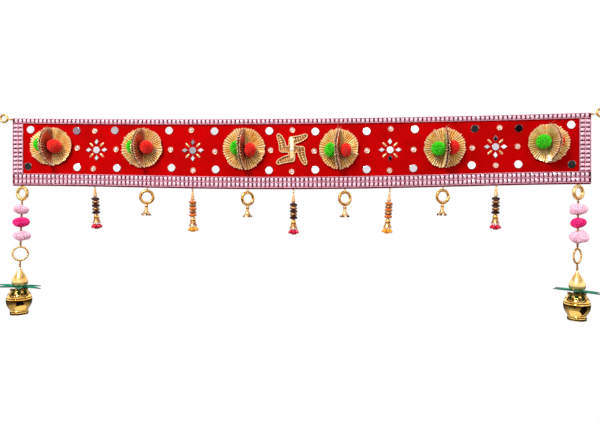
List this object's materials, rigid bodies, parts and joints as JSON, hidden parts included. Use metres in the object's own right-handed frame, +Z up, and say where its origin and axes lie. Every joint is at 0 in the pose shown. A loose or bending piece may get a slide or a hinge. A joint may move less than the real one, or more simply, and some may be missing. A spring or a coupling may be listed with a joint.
{
  "type": "toran door hanging",
  "caption": "Long velvet door hanging with stone trim, ribbon rosettes, pompoms, mirrors, a gold centre motif, beaded drops and pot pendants at both ends.",
  "frame": {"origin": "middle of the band's top edge, in the middle of its thickness", "axes": "+X along the band to the viewer's right, -Y out of the decorated front, +Z up"},
  "size_m": [1.0073, 0.0708, 0.3403],
  "materials": {
    "velvet": "short-pile red velvet",
    "stone_trim": "clear silver-backed stones on wine tape",
    "gold_metal": "polished gold wash",
    "gold_ribbon": "pleated metallic ribbon",
    "gold_shell": "plated gold, embossed",
    "green_yarn": "cut yarn",
    "red_yarn": "cut yarn",
    "pink_yarn": "soft brushed yarn",
    "magenta_yarn": "soft brushed yarn",
    "dark_beads": "faceted, polished",
    "amber_beads": "faceted, polished",
    "ruby_beads": "polished drops",
    "leaf_cloth": "satin leaf",
    "mirror_glass": "small cut mirrors",
    "clear_stone": "faceted pale stones"
  },
  "bodies": {
    "root": {"band": "velvet", "trim_top": "stone_trim", "trim_bottom": "stone_trim", "trim_left": "stone_trim", "trim_right": "stone_trim", "hang_ring_left": "gold_metal", "hang_ring_right": "gold_metal", "rosette_1_left": "gold_ribbon", "rosette_1_right": "gold_ribbon", "rosette_2_left": "gold_ribbon", "rosette_2_right": "gold_ribbon", "rosette_3_left": "gold_ribbon", "rosette_3_right": "gold_ribbon", "rosette_4_left": "gold_ribbon", "rosette_4_right": "gold_ribbon", "rosette_5_left": "gold_ribbon", "rosette_5_right": "gold_ribbon", "rosette_6_left": "gold_ribbon", "rosette_6_right": "gold_ribbon", "pompom_1_green": "green_yarn", "pompom_1_red": "red_yarn", "pompom_2_green": "green_yarn", "pompom_2_red": "red_yarn", "pompom_3_green": "green_yarn", "pompom_3_red": "red_yarn", "pompom_4_green": "green_yarn", "pompom_4_red": "red_yarn", "pompom_5_green": "green_yarn", "pompom_5_red": "red_yarn", "pompom_6_green": "green_yarn", "pompom_6_red": "red_yarn", "centre_motif": "gold_metal", "bell_drop_1": "gold_metal", "bell_drop_2": "gold_metal", "bell_drop_3": "gold_metal", "bell_drop_4": "gold_metal", "beaded_drop_1": "dark_beads", "beaded_drop_2": "amber_beads", "beaded_drop_3": "dark_beads", "beaded_drop_4": "amber_beads", "beaded_drop_5": "dark_beads", "side_left_upper_ring": "gold_metal", "side_left_puff_1": "pink_yarn", "side_left_puff_2": "magenta_yarn", "side_left_puff_3": "pink_yarn", "side_left_lower_ring": "gold_metal", "side_left_coconut": "gold_shell", "side_left_leaves": "leaf_cloth", "side_left_pot": "gold_shell", "side_right_upper_ring": "gold_metal", "side_right_puff_1": "pink_yarn", "side_right_puff_2": "magenta_yarn", "side_right_puff_3": "pink_yarn", "side_right_lower_ring": "gold_metal", "side_right_coconut": "gold_shell", "side_right_leaves": "leaf_cloth", "side_right_pot": "gold_shell"}
  },
  "joints": []
}
